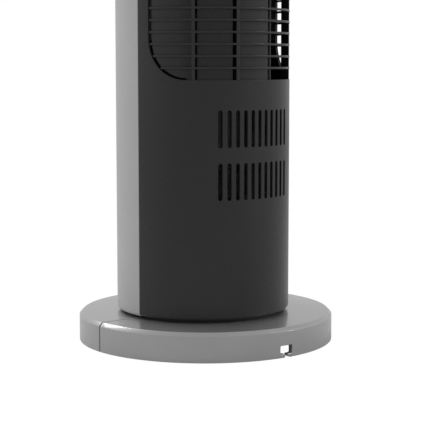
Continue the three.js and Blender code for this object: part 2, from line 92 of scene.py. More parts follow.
def span(node, axis):
    """Lowest and highest coordinate of a CAD node along an axis, in millimetres."""
    low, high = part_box(node)
    return low[axis] / MM, high[axis] / MM


# ------------------------------------------------------------------ driving dimensions
X, Y, Z = range(3)
WALL = 2.5

BASE_RADIUS = min(cad_high[X], -cad_low[X], cad_high[Y], -cad_low[Y]) / MM - 0.01
BASE_TURN = -2.4                 # degrees that the base stands turned from the column
RIM_BOTTOM, BASE_TOP = span("base_front_half", Z)
BASE_CHAMFER = 3.3
BASE_SOFTENING = 0.5             # radius of the chamfer's two edges
BASE_WALL = 3.1
NECK_RADIUS = 71
NECK_TOP = 31.2
BASE_OPENING = NECK_RADIUS + 0.5
SEAM_GAP = 1.5                   # between the base's two halves

COLUMN_RADIUS = span("front_shell", X)[1]
COLUMN_BOTTOM, SHELL_TOP = span("front_shell", Z)
COLUMN_Y = span("front_shell", Y)[0] + COLUMN_RADIUS
COLUMN_CORNER = 3.2
COLUMN_LIP = 1.5
SEAM_Y = 7.8                     # the shells meet this far behind the column's middle
SHELL_SEAM = 90 - math.degrees(math.asin(SEAM_Y / COLUMN_RADIUS))
HALF_SEAM = 0.2
SHELL_ROUNDING = 0.35            # radius of the outer edges of shells and cap

RIB_OVERRUN = 2                  # the ribs run this far past the opening
GRILLE_LOW = span("rear_grille", Z)[0] + RIB_OVERRUN
GRILLE_HIGH = span("rear_grille", Z)[1] - RIB_OVERRUN
GRILLE_CENTRE = 1.4
GRILLE_HALF = 77
GRILLE_CORNER = 37
SLAT_COUNT = 37
SLAT_PITCH = (GRILLE_HIGH - GRILLE_LOW) / (SLAT_COUNT + 1)
SLAT_HEIGHT = 2
SLAT_DEPTH = 3.5
RIB_ANGLES = (-45, -16.3, 45)
RIB_WIDTH = 2.9
RIB_DEPTH = 7.1
RIGHT_RAIL = (78.6, 82)          # degrees at the rail's two sides
FIN_DEPTH = 8.1
RAIL_LOW, RAIL_HIGH = GRILLE_LOW + GRILLE_CORNER, GRILLE_HIGH - GRILLE_CORNER
OUTLET_HALF = 40
FLUSH = 0.2                      # the grilles lie this far under the column's surface

VENT_PITCH = 7.65
VENT_WIDTH = 3.5
VENT_ROWS = ((138.7, 172.0), (185.8, 219.0))
VENTS_EACH_SIDE = 5

COVER_TOP = span("rear_shell", Z)[1]
HANDLE_COVER_LOW = span("handle_cover", Z)[0]
HANDLE_LOW, HANDLE_HIGH = 683, 709
HANDLE_HALF = 43
HANDLE_DEPTH = 30

SCROLL_LOW, SCROLL_HIGH = span("scroll_casing", Z)
SCROLL_RADIUS = 76
SCROLL_WALL = 2
SCROLL_STEP = 2.8                # the scroll's wall steps out this far beyond the left rib
SCROLL_CORNER = GRILLE_CORNER - 1.3
SCROLL_SLOTS = ((-46.3, -42.8), (-18.4, -15.0))   # degrees, round two of the ribs

CAP_TOP = span("top_cap", Z)[1]
CAP_LOW = SHELL_TOP + 0.3
PANEL_Y = -30
PANEL_HALF_X = 50
PANEL_HALF_Y = 20
PANEL_CORNER = 12
PANEL_GAP = 0.3
BUTTON_RADIUS = 6.5
BUTTON_GAP = 0.4
BUTTON_XS = (-33, -11, 11, 33)

# The painted-shade black shares the record's black plastic slot.
RECORD_SLOT = {"painted_shade_black": "black_plastic"}   # finishes that share a slot of the record

BASE = Matrix.Rotation(math.radians(BASE_TURN), 4, "Z")
COLUMN = Matrix.Translation((0, COLUMN_Y, 0))


# ------------------------------------------------------------------ camera
def make_camera():
    """Looks at the lower back of the fan from behind its intake side, slightly from above."""
    azimuth = math.radians(140.36)
    drop = math.radians(6.432)
    level = math.cos(drop)
    forward = Vector((-math.sin(azimuth) * level, math.cos(azimuth) * level, -math.sin(drop)))
    data = bpy.data.cameras.new("camera")
    data.sensor_width = 36
    data.lens = 112.35
    camera = bpy.data.objects.new("camera", data)
    camera.location = (0.8000, 0.9797, 0.2602)
    camera.rotation_euler = forward.to_track_quat("-Z", "Y").to_euler()
    scene.collection.objects.link(camera)
    scene.camera = camera


# ------------------------------------------------------------------ materials
def link(tree, source, socket, target, name):
    """Joins an output of one node to an input of another, both by name."""
    tree.links.new(source.outputs[socket], target.inputs[name])


def moulded(name, colour, roughness, grain=0.5, grain_depth=0.03, mottle=0.05, wear=0.12,
            metallic=0.0, coat=0.0, coat_roughness=0.1, specular=0.5, stretch=(1, 1, 1)):
    """A surface with soft blotches of tone, a fine grain in bump and gloss, and paler worn edges."""
    material = bpy.data.materials.new(name)
    material.use_nodes = True
    tree = material.node_tree
    shader = tree.nodes["Principled BSDF"]
    shader.inputs["Metallic"].default_value = metallic
    shader.inputs["Specular IOR Level"].default_value = specular
    shader.inputs["Coat Weight"].default_value = coat
    shader.inputs["Coat IOR"].default_value = 1.55
    shader.inputs["Coat Roughness"].default_value = coat_roughness

    place = tree.nodes.new("ShaderNodeTexCoord")
    scaled = tree.nodes.new("ShaderNodeMapping")
    scaled.inputs["Scale"].default_value = stretch
    link(tree, place, "Object", scaled, "Vector")

    def noise(size_mm, detail):
        node = tree.nodes.new("ShaderNodeTexNoise")
        node.inputs["Scale"].default_value = 1 / (size_mm * MM)
        node.inputs["Detail"].default_value = detail
        link(tree, scaled, "Vector", node, "Vector")
        return node

    blotches = noise(45, 3)
    tone = tree.nodes.new("ShaderNodeMix")
    tone.data_type = "RGBA"
    tone.inputs[6].default_value = (*[c * (1 - mottle) for c in colour], 1)
    tone.inputs[7].default_value = (*[c * (1 + mottle) for c in colour], 1)
    link(tree, blotches, "Fac", tone, "Factor")

    shape = tree.nodes.new("ShaderNodeNewGeometry")
    edges = tree.nodes.new("ShaderNodeMapRange")
    edges.inputs["From Min"].default_value = 0.52
    edges.inputs["From Max"].default_value = 0.62
    edges.inputs["To Max"].default_value = wear
    link(tree, shape, "Pointiness", edges, "Value")
    worn = tree.nodes.new("ShaderNodeMix")
    worn.data_type = "RGBA"
    worn.inputs[7].default_value = (*[min(1, 0.15 + 1.3 * c) for c in colour], 1)
    tree.links.new(edges.outputs["Result"], worn.inputs["Factor"])
    tree.links.new(tone.outputs[2], worn.inputs[6])
    tree.links.new(worn.outputs[2], shader.inputs["Base Color"])

    fine = noise(grain, 2)
    gloss = tree.nodes.new("ShaderNodeMapRange")
    gloss.inputs["To Min"].default_value = roughness - 0.05
    gloss.inputs["To Max"].default_value = roughness + 0.05
    link(tree, fine, "Fac", gloss, "Value")
    link(tree, gloss, "Result", shader, "Roughness")

    bump = tree.nodes.new("ShaderNodeBump")
    bump.inputs["Strength"].default_value = 0.6
    bump.inputs["Distance"].default_value = grain_depth * MM
    link(tree, fine, "Fac", bump, "Height")
    link(tree, bump, "Normal", shader, "Normal")
    return material


def grey(value):
    """A grey that is very slightly cool."""
    return value, value, value * 1.01


def make_materials():
    """A finish for each material slot of the record, and a near-black without sheen that paints deep shade on
    the pieces behind the intake grille.
    """
    return {
        "base_silver": moulded("base_silver", grey(0.52), 0.3, 0.7, 0.005, metallic=0.5, coat=1,
                               coat_roughness=0.07),
        "shell_silver": moulded("shell_silver", grey(0.62), 0.48, 0.7, 0.02, coat=0.15,
                                coat_roughness=0.25),
        "charcoal": moulded("charcoal", grey(0.027), 0.27, 0.6, 0.02, mottle=0.08, wear=0.04),
        "black_plastic": moulded("black_plastic", grey(0.012), 0.5, 0.8, 0.04, mottle=0.1, wear=0.03),
        # Painted shade: almost no colour and little sheen, so the pieces behind the grille read as deep
        # shade.
        "painted_shade_black": moulded("painted_shade_black", grey(0.004), 0.7, 0.8, 0.04, mottle=0.1, wear=0,
                               specular=0.1),
        "acetal": moulded("acetal", (0.78, 0.77, 0.73), 0.35, 0.9, 0.02),
        "steel": moulded("steel", (0.45, 0.46, 0.47), 0.3, 0.3, 0.02, metallic=0.9, stretch=(1, 1, 6)),
        "rubber": moulded("rubber", grey(0.01), 0.8, 0.4, 0.06, mottle=0.2, wear=0.02),
        "zinc": moulded("zinc", (0.09, 0.095, 0.1), 0.6, 1.6, 0.03, metallic=0.5, stretch=(1, 1, 3)),
        "copper": moulded("copper", (0.45, 0.15, 0.04), 0.35, 0.8, 0.12, metallic=0.8,
                          stretch=(1, 1, 0.2)),
        "bronze": moulded("bronze", (0.32, 0.18, 0.04), 0.4, 0.5, 0.05, metallic=0.8),
        "panel_gloss": moulded("panel_gloss", grey(0.008), 0.14, 0.8, 0.004, coat=1, coat_roughness=0.05,
                               wear=0.02),
        "board_green": moulded("board_green", (0.013, 0.1, 0.035), 0.4, 1.2, 0.05, mottle=0.15),
        "lens_amber": moulded("lens_amber", (0.7, 0.25, 0.02), 0.12, 0.8, 0.01, coat=1,
                              coat_roughness=0.05),
        "button_silver": moulded("button_silver", grey(0.42), 0.3, 0.5, 0.015, metallic=0.3),
    }


# ------------------------------------------------------------------ meshes
def make_piece(name, solids, slot, body, replaced=(), placing=Matrix(), normals=None, sharp=38):
    """One object from solids given as (points, faces), riding on a body."""
    points = np.vstack([solid[0] for solid in solids])
    faces, first = [], 0
    for solid_points, solid_faces in solids:
        faces += [[first + i for i in face] for face in solid_faces]
        first += len(solid_points)
    turn = np.array(placing.to_3x3())
    points = points @ turn.T + np.array(placing.translation)
    mesh = bpy.data.meshes.new(name)
    mesh.from_pydata(points * MM, [], faces)
    mesh.shade_smooth()
    if normals is None:
        mesh.set_sharp_from_angle(angle=math.radians(sharp))
    else:
        mesh.normals_split_custom_set((np.vstack(normals) @ turn.T).tolist())
    mesh.materials.append(materials[slot])
    thing = bpy.data.objects.new(name, mesh)
    scene.collection.objects.link(thing)
    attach(thing, body)
    RECORD_SLOT.get(slot, slot)
    if replaced:
        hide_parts(*replaced)
    return thing


def facing_out(points, faces):
    """The same solid with its faces turned outwards."""
    points = np.asarray(points, float)
    volume = 0.0
    for face in faces:
        for a, b in zip(face[1:-1], face[2:]):
            volume += np.dot(points[face[0]], np.cross(points[a], points[b]))
    return points, faces if volume > 0 else [face[::-1] for face in faces]


def loft(rings, closed=False):
    """A solid through rings with equal numbers of points, capped at its ends unless it closes."""
    count = len(rings[0])
    faces = []
    for j in range(len(rings) if closed else len(rings) - 1):
        a, b = j * count, (j + 1) % len(rings) * count
        faces += [[a + k, a + (k + 1) % count, b + (k + 1) % count, b + k] for k in range(count)]
    if not closed:
        faces.append(list(range(count))[::-1])
        faces.append([(len(rings) - 1) * count + k for k in range(count)])
    return facing_out(np.vstack(rings), faces)


def polar(radius, angle):
    """The (x, y) of a point by its radius and its angle from the back."""
    turn = np.radians(angle)
    return -radius * np.sin(turn), radius * np.cos(turn)


def rounded(corners, steps=4):
    """A closed outline from (x, y, radius) corners, each rounded by an arc."""
    corners = [np.array(corner, float) for corner in corners]
    points = []
    for before, here, after in zip(corners[-1:] + corners[:-1], corners, corners[1:] + corners[:1]):
        radius = here[2]
        if radius == 0:
            points.append(here[:2])
            continue
        back = (before[:2] - here[:2]) / np.linalg.norm(before[:2] - here[:2])
        ahead = (after[:2] - here[:2]) / np.linalg.norm(after[:2] - here[:2])
        half = math.acos(np.clip(back @ ahead, -1, 1)) / 2
        centre = here[:2] + (back + ahead) / np.linalg.norm(back + ahead) * radius / math.sin(half)
        start = here[:2] + back * radius / math.tan(half) - centre
        sweep = math.pi - 2 * half
        side = math.copysign(1, start[0] * (here[1] - centre[1]) - start[1] * (here[0] - centre[0]))
        for turn in np.linspace(0, side * sweep, steps + 1):
            c, s = math.cos(turn), math.sin(turn)
            points.append(centre + (start[0] * c - start[1] * s, start[0] * s + start[1] * c))
    return np.array(points)


def rectangle(x0, x1, y0, y1, radius):
    """Corners for rounded(), anticlockwise."""
    return [(x0, y0, radius), (x1, y0, radius), (x1, y1, radius), (x0, y1, radius)]


def turned(profile, sides=96, centre=(0, 0)):
    """A solid of revolution from a closed (radius, z) outline that stays off the axis."""
    rings = []
    for angle in np.linspace(0, 360, sides, endpoint=False):
        x, y = polar(profile[:, 0], angle)
        rings.append(np.column_stack([x + centre[0], y + centre[1], profile[:, 1]]))
    return loft(rings, closed=True)


def block(outline, low, high, bevel=0.3):
    """An (x, y) outline raised from low to high with bevelled edges."""
    middle = outline.mean(axis=0)
    size = np.abs(outline - middle).max()
    rings = []
    for inset, z in ((bevel, low), (0, low + bevel), (0, high - bevel), (bevel, high)):
        flat = middle + (outline - middle) * (1 - inset / size)
        rings.append(np.column_stack([flat, np.full(len(flat), z)]))
    return loft(rings)


def unit(vectors):
    """Each row at length one."""
    return vectors / np.maximum(np.linalg.norm(vectors, axis=1, keepdims=True), 1e-12)


def into_material(outline):
    """Normals on the left of a closed outline, lengthened at its corners."""
    ahead = unit(np.roll(outline, -1, axis=0) - outline)
    behind = np.roll(ahead, 1, axis=0)
    both = np.column_stack([-(ahead + behind)[:, 1], (ahead + behind)[:, 0]])
    both = unit(both)
    left = np.column_stack([-ahead[:, 1], ahead[:, 0]])
    return both / np.clip((both * left).sum(axis=1, keepdims=True), 0.65, 1)


def within(points, outlines):
    """Whether each point lies inside the first outline and outside the others, by crossings."""
    inside = np.zeros(len(points), bool)
    for outline in outlines:
        for (x0, y0), (x1, y1) in zip(outline, np.roll(outline, -1, axis=0)):
            if y0 == y1:
                continue
            crosses = (points[:, 1] > min(y0, y1)) & (points[:, 1] <= max(y0, y1))
            at = x0 + (points[:, 1] - y0) * (x1 - x0) / (y1 - y0)
            inside ^= crosses & (points[:, 0] < at)
    return inside


def away_from(points, outlines, margin):
    """Whether each point is further than the margin from every outline."""
    clear = np.ones(len(points), bool)
    for outline in outlines:
        for a, b in zip(outline, np.roll(outline, -1, axis=0)):
            along = b - a
            t = np.clip((points - a) @ along / max(along @ along, 1e-9), 0, 1)
            nearest = a + t[:, None] * along
            clear &= ((points - nearest) ** 2).sum(axis=1) > margin ** 2
    return clear


def trace(corners, columns, rows):
    """A closed outline whose level and upright edges also get the grid's points between their ends."""
    corners = np.asarray(corners, float)
    points = []
    for a, b in zip(corners, np.roll(corners, -1, axis=0)):
        points.append(a)
        for axis, grid in ((0, columns), (1, rows)):
            if abs(a[1 - axis] - b[1 - axis]) < 1e-6:
                low, high = sorted((a[axis], b[axis]))
                between = grid[(grid > low + 0.6) & (grid < high - 0.6)]
                for value in between if b[axis] > a[axis] else between[::-1]:
                    point = a.copy()
                    point[axis] = value
                    points.append(point)
    return np.array(points)


def moulded_sheet(outlines, inner, place, thickness, rounding, straight=0):
    """A wall of even thickness with rounded edges, bent by place(s, v, depth, straight).

    The first outline is the border, anticlockwise, and the others are openings, clockwise. The last
    `straight` openings are cut parallel to the Y axis and the rest square to the surface. Returns
    (points, faces) and the normal of each face corner.
    """
    edge = np.vstack(outlines)
    inward = np.vstack([into_material(outline) for outline in outlines])
    cut_straight = np.zeros(len(edge), bool)
    if straight:
        cut_straight[len(edge) - sum(len(outline) for outline in outlines[-straight:]):] = True
    inner = inner[within(inner, outlines)]
    inner = inner[away_from(inner, outlines, 2.2 * rounding + 0.8)]

    flat = np.vstack([inner, edge + inward * rounding])
    first_edge = len(inner)
    loops, start = [], first_edge
    for outline in outlines:
        ids = list(range(start, start + len(outline)))
        loops.append(ids)
        start += len(outline)
    links = [(a, b) for ids in loops for a, b in zip(ids, ids[1:] + ids[:1])]
    found = delaunay_2d_cdt([Vector(p) for p in flat.tolist()], links, [], 0, 1e-6)
    origin = [ids[0] if ids else -1 for ids in found[3]]
    triangles = np.array([[origin[i] for i in face] for face in found[2]])
    triangles = triangles[(triangles >= 0).all(axis=1)]
    centres = flat[triangles].mean(axis=1)
    triangles = triangles[within(centres, [flat[ids] for ids in loops])]

    count, edge_count = len(inner), len(edge)
    no = np.zeros(count, bool)

    def at(points, depth, flags):
        return place(points[:, 0], points[:, 1], depth, flags)

    layers = [at(inner, 0, no)]
    outward = []
    turns = (0, 30, 60, 90)
    step = 0.05
    surface = unit(at(edge, 0, cut_straight) - at(edge, step, np.zeros(edge_count, bool)))
    sideways = unit(at(edge - inward * step, 0, cut_straight) - at(edge, 0, cut_straight))
    for degrees in turns:
        s, c = math.sin(math.radians(degrees)), math.cos(math.radians(degrees))
        layers.append(at(edge + inward * rounding * (1 - s), rounding * (1 - c), cut_straight))
        outward.append(c * surface + s * sideways)
    layers.append(at(inner, thickness, no))
    layers.append(at(edge, thickness, cut_straight))
    points = np.vstack(layers)
    face_normal = unit(at(inner, 0, no) - at(inner, step, no))
    outer_normals = np.vstack([face_normal, surface])

    first_inner = count + len(turns) * edge_count
    faces, normals = triangles.tolist(), [outer_normals[triangles.ravel()]]
    back = (triangles + first_inner)[:, ::-1]
    faces += back.tolist()
    normals.append(-outer_normals[triangles[:, ::-1].ravel()])
    rings = [count + k * edge_count for k in range(len(turns))] + [first_inner + count]
    for k in range(len(turns)):
        upper, lower = outward[k], outward[min(k + 1, len(turns) - 1)]
        quads, corner_normals = [], []
        for ids in loops:
            for a, b in zip(ids, ids[1:] + ids[:1]):
                i, j = a - first_edge, b - first_edge
                quads.append([rings[k] + j, rings[k] + i, rings[k + 1] + i, rings[k + 1] + j])
                corner_normals += [upper[j], upper[i], lower[i], lower[j]]
        faces += quads
        normals.append(np.array(corner_normals))
    return (points, faces), normals


def grid_points(columns, rows):
    """Every crossing of the columns and rows."""
    s, v = np.meshgrid(columns, rows)
    return np.column_stack([s.ravel(), v.ravel()])


# ------------------------------------------------------------------ bent surfaces
def around_axis(s, r, z, depth, flags, radius):
    """Points at radius r about the axis; a flagged point keeps its X as it goes deeper."""
    angle = s / radius
    sine = np.sin(angle)
    if np.any(flags):
        deeper = np.arcsin(np.clip(sine * radius / (radius - depth), -1, 1))
        angle = np.where(flags, deeper, angle)
    return np.column_stack([-r * np.sin(angle), r * np.cos(angle), z])


def column_surface(s, v, depth, flags):
    """The column's wall, which turns under at the bottom and ends in a short lip."""
    knee = COLUMN_BOTTOM + COLUMN_CORNER
    below = np.maximum(0, knee - v)
    turn = np.minimum(below / COLUMN_CORNER, math.pi / 2)
    past = np.maximum(0, below - COLUMN_CORNER * math.pi / 2)
    radius = COLUMN_RADIUS - COLUMN_CORNER + (COLUMN_CORNER - depth) * np.cos(turn) - past
    z = np.where(below > 0, knee - (COLUMN_CORNER - depth) * np.sin(turn), v)
    return around_axis(s, radius, z, depth, flags, COLUMN_RADIUS)


def base_section():
    """The rim's outer face, its chamfer and the flat top, as (radius, z) points and lengths along them."""
    knee = BASE_TOP - BASE_CHAMFER
    outline = rounded([
        (BASE_RADIUS, RIM_BOTTOM, 0), (BASE_RADIUS, knee, BASE_SOFTENING),
        (BASE_RADIUS - BASE_CHAMFER, BASE_TOP, BASE_SOFTENING), (BASE_OPENING, BASE_TOP, 0),
        (BASE_OPENING, RIM_BOTTOM, 0),
    ], 6)[:-1]
    lengths = np.concatenate([[0], np.cumsum(np.linalg.norm(np.diff(outline, axis=0), axis=1))])
    return outline, RIM_BOTTOM + lengths


BASE_OUTLINE, BASE_V = base_section()


def base_surface(s, v, depth, flags):
    """The base's rim, chamfered into its flat top."""
    along = unit(np.gradient(BASE_OUTLINE, BASE_V, axis=0))
    r, z = (np.interp(v, BASE_V, BASE_OUTLINE[:, k]) for k in (0, 1))
    tr, tz = (np.interp(v, BASE_V, along[:, k]) for k in (0, 1))
    return around_axis(s, r - depth * tz, z + depth * tr, depth, flags, BASE_RADIUS)


COLUMN_V_LOW = COLUMN_BOTTOM + COLUMN_CORNER * (1 - math.pi / 2) - COLUMN_LIP
COLUMN_ROWS = np.concatenate([
    np.linspace(COLUMN_V_LOW, COLUMN_BOTTOM + COLUMN_CORNER, 9)[:-1],
    np.linspace(COLUMN_BOTTOM + COLUMN_CORNER, SHELL_TOP, 71),
])


def degrees_to_arc(angle, radius):
    """Distance along a circle for an angle in degrees."""
    return math.radians(angle) * radius


# ------------------------------------------------------------------ base
def base_rows():
    """Heights along the rim, close together round the chamfer."""
    bends = BASE_V[(BASE_V > RIM_BOTTOM + 1) & (BASE_V < BASE_V[-1] - 1)]
    rim = np.linspace(RIM_BOTTOM, bends[0], 9)[:-1]
    top = np.linspace(bends[-1], BASE_V[-1], 12)[1:]
    return np.concatenate([rim, bends, top])


def notch_outline():
    """Cord exit in the rim's lower edge: a window over a narrow slot between two rounded hooks."""
    window = 6.6                 # half the window's width
    slot = 1.1                   # half the slot's width
    relief = 4.4                 # one hook is cut away underneath, up to this far from the middle
    hook_under = 2.0
    hook_top = 4.6
    window_top = 12.0
    return [
        (-slot, RIM_BOTTOM, 1.5), (-slot, hook_top, 1.3),
        (-window, hook_top, 1.4), (-window, window_top, 0.8),
        (window, window_top, 0.8), (window, hook_top, 1.4),
        (slot, hook_top, 1.1), (slot, hook_under, 1.1),
        (relief, hook_under, 0.4), (relief, RIM_BOTTOM, 0.3),
    ]


def make_base():
    """The base's two halves, the guide behind the cord exit, and the hub that shows as the neck."""
    rows = base_rows()
    quarter = degrees_to_arc(90, BASE_RADIUS) - SEAM_GAP / 2
    columns = np.linspace(-quarter, quarter, 111)
    halves = (
        ("base_rear_cover", "base_rear_half", 0, True),
        ("base_front_cover", "base_front_half", 180, False),
    )
    for name, node, facing, notched in halves:
        corners = [(-quarter, rows[0], 0)]
        if notched:
            corners += notch_outline()
        corners += [(quarter, rows[0], 0), (quarter, rows[-1], 0), (-quarter, rows[-1], 0)]
        border = trace(rounded(corners, 4), columns, rows)
        solid, normals = moulded_sheet([border], grid_points(columns, rows), base_surface, BASE_WALL, 0.7)
        placing = BASE @ Matrix.Rotation(math.radians(facing), 4, "Z")
        make_piece(name, [solid], "base_silver", "base", [node], placing, normals)

    guide_half = 14
    guide_low = RIM_BOTTOM + 0.3
    guide_high = 17
    corners = [(-guide_half, guide_low, 0)] + notch_outline()
    corners += [(guide_half, guide_low, 0), (guide_half, guide_high, 1), (-guide_half, guide_high, 1)]
    liner = trace(rounded(corners, 4), columns, rows)

    def behind(s, v, depth, flags):
        return base_surface(s, v, depth + BASE_WALL - 0.05, flags)

    solid, normals = moulded_sheet([liner], grid_points(columns, rows), behind, 1.6, 0.15)
    make_piece("cord_guide", [solid], "base_silver", "base", [], BASE, normals)

    bore, boss = 9, 22
    boss_low, boss_top = 18, 37.4
    flange = NECK_RADIUS + 9
    flange_low, flange_top = 21.2, 24.4
    inside = NECK_RADIUS - 4
    ceiling = NECK_TOP - 3
    hub = rounded([
        (bore, boss_low, 0.5), (boss, boss_low, 0.5), (boss, ceiling, 1), (inside, ceiling, 1),
        (inside, flange_low, 0.6), (flange, flange_low, 0.6), (flange, flange_top, 0.6),
        (NECK_RADIUS, flange_top, 0.4), (NECK_RADIUS, NECK_TOP, 0.8), (boss, NECK_TOP, 0.5),
        (boss, boss_top, 0.4), (bore, boss_top, 0.4),
    ])
    make_piece("hub_moulding", [turned(hub, 128)], "black_plastic", "base", ["base_hub"], BASE)


def make_feet():
    """Rubber feet with a rounded tread edge and a ring moulded into the tread."""
    profile = rounded([
        (0.4, 0.6, 0), (3.6, 0.6, 0.2), (4.2, 0, 0.2), (9.3, 0, 1), (9.3, 3.9, 0.6), (0.4, 3.9, 0),
    ])
    for i in range(5):
        low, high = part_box(f"foot_{i + 1}")
        centre = ((low[X] + high[X]) / 2 / MM, (low[Y] + high[Y]) / 2 / MM)
        foot = turned(profile, 48, centre)
        make_piece(f"rubber_foot_{i + 1}", [foot], "rubber", "base", [f"foot_{i + 1}"])


# ------------------------------------------------------------------ column
def opening_outline(s0, s1, v0, v1, radius, steps, columns, rows):
    """A rounded opening, clockwise."""
    outline = rounded(rectangle(s0, s1, v0, v1, radius), steps)
    return trace(outline, columns, rows)[::-1]


def make_shells():
    """The rear cover, the cover with the handle's opening above it, and the front cover."""
    half = degrees_to_arc(SHELL_SEAM, COLUMN_RADIUS) - HALF_SEAM
    columns = np.linspace(-half, half, 81)
    rows = np.append(COLUMN_ROWS[COLUMN_ROWS < COVER_TOP - 2], COVER_TOP)
    border = trace(rounded(rectangle(-half, half, COLUMN_V_LOW, COVER_TOP, 0)), columns, rows)
    edge = degrees_to_arc(GRILLE_HALF, COLUMN_RADIUS)
    centre = degrees_to_arc(GRILLE_CENTRE, COLUMN_RADIUS)
    grille = opening_outline(centre - edge, centre + edge, GRILLE_LOW, GRILLE_HIGH, GRILLE_CORNER, 16,
                             columns, rows)
    vents = []
    for k in range(-VENTS_EACH_SIDE, VENTS_EACH_SIDE + 1):
        s0, s1 = (math.asin((k * VENT_PITCH + side * VENT_WIDTH / 2) / COLUMN_RADIUS) * COLUMN_RADIUS
                  for side in (-1, 1))
        for low, high in VENT_ROWS:
            outline = rounded(rectangle(s0, s1, low, high, (s1 - s0) / 2 - 0.02), 4)
            vents.append(trace(outline, columns, rows)[::-1])
    solid, normals = moulded_sheet([border, grille] + vents, grid_points(columns, rows), column_surface,
                                   WALL, SHELL_ROUNDING, len(vents))
    make_piece("rear_cover", [solid], "charcoal", "column", ["rear_shell"], COLUMN, normals)

    rows = np.linspace(HANDLE_COVER_LOW, SHELL_TOP, 13)
    border = trace(rounded(rectangle(-half, half, HANDLE_COVER_LOW, SHELL_TOP, 0)), columns, rows)
    reach = degrees_to_arc(math.degrees(math.asin(HANDLE_HALF / COLUMN_RADIUS)), COLUMN_RADIUS)
    handle = opening_outline(-reach, reach, HANDLE_LOW, HANDLE_HIGH, 6, 6, columns, rows)
    solid, normals = moulded_sheet([border, handle], grid_points(columns, rows), column_surface,
                                   WALL, SHELL_ROUNDING, 1)
    make_piece("upper_rear_cover", [solid], "charcoal", "column", ["handle_cover"], COLUMN, normals)

    half = degrees_to_arc(180 - SHELL_SEAM, COLUMN_RADIUS) - HALF_SEAM
    columns = np.linspace(-half, half, 91)
    border = trace(rounded(rectangle(-half, half, COLUMN_V_LOW, SHELL_TOP, 0)), columns, COLUMN_ROWS)
    outlet = degrees_to_arc(OUTLET_HALF, COLUMN_RADIUS)
    opening = opening_outline(-outlet, outlet, GRILLE_LOW, GRILLE_HIGH, 5, 5, columns, COLUMN_ROWS)
    solid, normals = moulded_sheet([border, opening], grid_points(columns, COLUMN_ROWS), column_surface,
                                   WALL, SHELL_ROUNDING)
    placing = COLUMN @ Matrix.Rotation(math.pi, 4, "Z")
    make_piece("front_cover", [solid], "shell_silver", "column", ["front_shell"], placing, normals)


def hoop(inner, outer, start, end, low, high, radius=0.5, step=2.5):
    """A bar that follows the column's curve, with rounded corners."""
    section = rounded(rectangle(inner, outer, low, high, radius), 3)
    rings = []
    for angle in np.linspace(start, end, max(2, round(abs(end - start) / step) + 1)):
        x, y = polar(section[:, 0], angle)
        rings.append(np.column_stack([x, y, section[:, 1]]))
    return loft(rings)


def upright(inner, outer, middle, width, low, high, radius=0.5):
    """A straight bar along the column at one angle, its sides parallel."""
    section = rounded(rectangle(-width / 2, width / 2, inner, outer, radius), 3)
    turn = np.radians(middle)
    x = -section[:, 1] * np.sin(turn) + section[:, 0] * np.cos(turn)
    y = section[:, 1] * np.cos(turn) + section[:, 0] * np.sin(turn)
    return loft([np.column_stack([x, y, np.full(len(x), z)]) for z in (low, high)])


def opening_half(z):
    """Half the intake opening's angle at a height, less near its round corners."""
    drop = max(0, GRILLE_LOW + GRILLE_CORNER - min(z, GRILLE_LOW + GRILLE_HIGH - z))
    inset = GRILLE_CORNER - math.sqrt(GRILLE_CORNER ** 2 - drop ** 2)
    return GRILLE_HALF - math.degrees(inset / COLUMN_RADIUS)


def make_intake_grille():
    """Level slats on upright ribs, with fins, a rail and two backing strips behind them in the painted-shade
    black, which stands in for the shade behind the slats.
    """
    outer = COLUMN_RADIUS - FLUSH
    inner = COLUMN_RADIUS - RIB_DEPTH
    solids = []
    for k in range(1, SLAT_COUNT + 1):
        middle = GRILLE_LOW + SLAT_PITCH * k
        low, high = middle - SLAT_HEIGHT / 2, middle + SLAT_HEIGHT / 2
        half = min(opening_half(low), opening_half(high)) - math.degrees(0.9 / COLUMN_RADIUS)
        start, end = GRILLE_CENTRE - half, GRILLE_CENTRE + half
        solids.append(hoop(outer - SLAT_DEPTH, outer, start, end, low, high, 0.45))
    low, high = GRILLE_LOW - RIB_OVERRUN, GRILLE_HIGH + RIB_OVERRUN
    for angle in RIB_ANGLES:
        solids.append(upright(outer - 2, outer - 0.4, angle, RIB_WIDTH, low, high, 0.3))
    make_piece("intake_grille", solids, "charcoal", "column", ["rear_grille"], COLUMN)
    # Fins behind the ribs and the rail at the right are painted shade: they stand in for the ribs' shaded
    # sides and the dark gap at the right.
    shade_pieces = [upright(COLUMN_RADIUS - FIN_DEPTH, outer - 0.8, angle, RIB_WIDTH + 0.1, low, high, 0.3)
            for angle in RIB_ANGLES]
    shade_pieces.append(hoop(inner, outer - SLAT_DEPTH + 0.6, *RIGHT_RAIL, RAIL_LOW, RAIL_HIGH, 0.4))
    # Backing strips behind the scroll wall's corner crescents, there only to paint the crescents' shadow.
    overlap = 4
    inner, outer = SCROLL_RADIUS - 1.6, SCROLL_RADIUS - 0.4
    for low, high in ((GRILLE_LOW, RAIL_LOW), (RAIL_HIGH, GRILLE_HIGH)):
        shade_pieces.append(hoop(inner, outer, -82, -50, low - overlap, high + overlap, 0.4))
    make_piece("grille_painted_shade", shade_pieces, "painted_shade_black", "column", [], COLUMN)


def make_outlet_grille():
    """Upright bars over level hoops, in the front cover's opening."""
    outer = COLUMN_RADIUS - FLUSH
    edge = OUTLET_HALF - 1.1
    low, high = GRILLE_LOW + 0.5, GRILLE_HIGH - 0.5
    solids = [upright(outer - 3.5, outer, angle, 2, low, high, 0.6)
              for angle in np.linspace(180 - edge, 180 + edge, 13)]
    for z in np.linspace(low, high - 3, 7):
        solids.append(hoop(COLUMN_RADIUS - 6, outer - 2.4, 180 - edge, 180 + edge, z, z + 3))
    make_piece("outlet_grille", solids, "black_plastic", "column", ["front_grille"], COLUMN)


